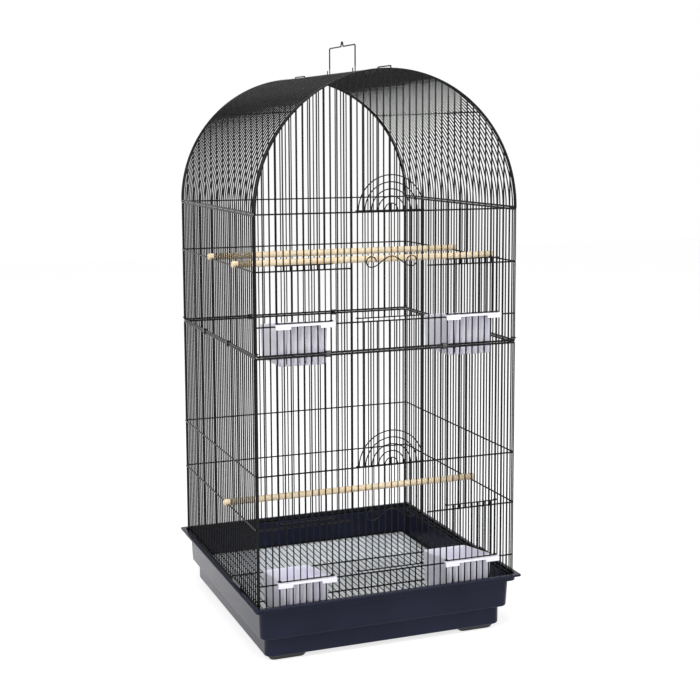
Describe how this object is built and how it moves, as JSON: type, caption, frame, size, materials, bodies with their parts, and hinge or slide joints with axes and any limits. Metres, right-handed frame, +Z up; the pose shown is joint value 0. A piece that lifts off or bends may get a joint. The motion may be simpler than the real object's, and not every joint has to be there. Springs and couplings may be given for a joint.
{
  "type": "bird cage",
  "caption": "Tall wire bird cage with an arched roof, lift-up wire doors, feeder cups, perches, a carrying handle and a moulded base pan with a tray.",
  "frame": {"origin": "centre of the footprint, on the plane that the feet stand on", "axes": "+X to the right of someone facing the doors, +Y from the door side to the back, +Z up"},
  "size_m": [0.422, 0.432, 0.8939],
  "materials": {
    "wire_black": "satin black coating on steel wire",
    "pan_navy": "glossy moulded plastic, very dark blue-black",
    "foot_black": "matt black",
    "cup_white": "semi-gloss white",
    "tray_white": "satin white",
    "perch_wood": "bare pale dowel"
  },
  "bodies": {
    "base": {"base_pan": "pan_navy", "waste_tray": "tray_white", "floor_grille": "wire_black", "foot_front_left": "foot_black", "foot_front_right": "foot_black", "foot_back_left": "foot_black", "foot_back_right": "foot_black", "rim_clip_left": "foot_black", "rim_clip_right": "foot_black"},
    "wire_cage": {"lower_front_panel": "wire_black", "upper_front_panel": "wire_black", "lower_back_panel": "wire_black", "upper_back_panel": "wire_black", "lower_left_panel": "wire_black", "upper_left_panel": "wire_black", "lower_right_panel": "wire_black", "upper_right_panel": "wire_black", "roof_panel": "wire_black", "ridge_clip_front": "wire_black", "ridge_clip_back": "wire_black", "joint_clip_front_1": "wire_black", "joint_clip_front_2": "wire_black", "joint_clip_back_1": "wire_black", "joint_clip_back_2": "wire_black", "joint_clip_left_1": "wire_black", "joint_clip_left_2": "wire_black", "joint_clip_right_1": "wire_black", "joint_clip_right_2": "wire_black", "upper_front_perch": "perch_wood", "upper_rear_perch": "perch_wood", "lower_perch": "perch_wood"},
    "lower_door": {"lower_door": "wire_black"},
    "upper_door": {"upper_door": "wire_black"},
    "lower_left_feeder": {"lower_left_feeder": "cup_white"},
    "lower_left_feeder_door": {"lower_left_feeder_door": "wire_black"},
    "lower_right_feeder": {"lower_right_feeder": "cup_white"},
    "lower_right_feeder_door": {"lower_right_feeder_door": "wire_black"},
    "upper_left_feeder": {"upper_left_feeder": "cup_white"},
    "upper_left_feeder_door": {"upper_left_feeder_door": "wire_black"},
    "upper_right_feeder": {"upper_right_feeder": "cup_white"},
    "upper_right_feeder_door": {"upper_right_feeder_door": "wire_black"},
    "carry_handle": {"carry_handle": "wire_black"}
  },
  "joints": [
    {"name": "cage_lift", "type": "slide", "parent": "base", "child": "wire_cage", "axis": [0, 0, 1], "range_m": [0, 0.12]},
    {"name": "lower_door_slide", "type": "slide", "parent": "wire_cage", "child": "lower_door", "axis": [0, 0, 1], "range_m": [0, 0.14]},
    {"name": "upper_door_slide", "type": "slide", "parent": "wire_cage", "child": "upper_door", "axis": [0, 0, 1], "range_m": [0, 0.14]},
    {"name": "lower_left_feeder_lift", "type": "slide", "parent": "wire_cage", "child": "lower_left_feeder", "axis": [0, 0, 1], "range_m": [0, 0.064]},
    {"name": "lower_left_feeder_door_slide", "type": "slide", "parent": "wire_cage", "child": "lower_left_feeder_door", "axis": [0, 0, 1], "range_m": [0, 0.064]},
    {"name": "lower_right_feeder_lift", "type": "slide", "parent": "wire_cage", "child": "lower_right_feeder", "axis": [0, 0, 1], "range_m": [0, 0.064]},
    {"name": "lower_right_feeder_door_slide", "type": "slide", "parent": "wire_cage", "child": "lower_right_feeder_door", "axis": [0, 0, 1], "range_m": [0, 0.064]},
    {"name": "upper_left_feeder_lift", "type": "slide", "parent": "wire_cage", "child": "upper_left_feeder", "axis": [0, 0, 1], "range_m": [0, 0.064]},
    {"name": "upper_left_feeder_door_slide", "type": "slide", "parent": "wire_cage", "child": "upper_left_feeder_door", "axis": [0, 0, 1], "range_m": [0, 0.064]},
    {"name": "upper_right_feeder_lift", "type": "slide", "parent": "wire_cage", "child": "upper_right_feeder", "axis": [0, 0, 1], "range_m": [0, 0.064]},
    {"name": "upper_right_feeder_door_slide", "type": "slide", "parent": "wire_cage", "child": "upper_right_feeder_door", "axis": [0, 0, 1], "range_m": [0, 0.064]},
    {"name": "carry_handle_hinge", "type": "hinge", "parent": "wire_cage", "child": "carry_handle", "pos_m": [0, -0.01, 0.84215], "axis": [0, 1, 0], "range_deg": [-88, 88]}
  ],
  "couplings": [
    {"joint": "lower_left_feeder_door_slide", "follows": "lower_left_feeder_lift", "ratio": 1},
    {"joint": "lower_right_feeder_door_slide", "follows": "lower_right_feeder_lift", "ratio": 1},
    {"joint": "upper_left_feeder_door_slide", "follows": "upper_left_feeder_lift", "ratio": 1},
    {"joint": "upper_right_feeder_door_slide", "follows": "upper_right_feeder_lift", "ratio": 1}
  ]
}
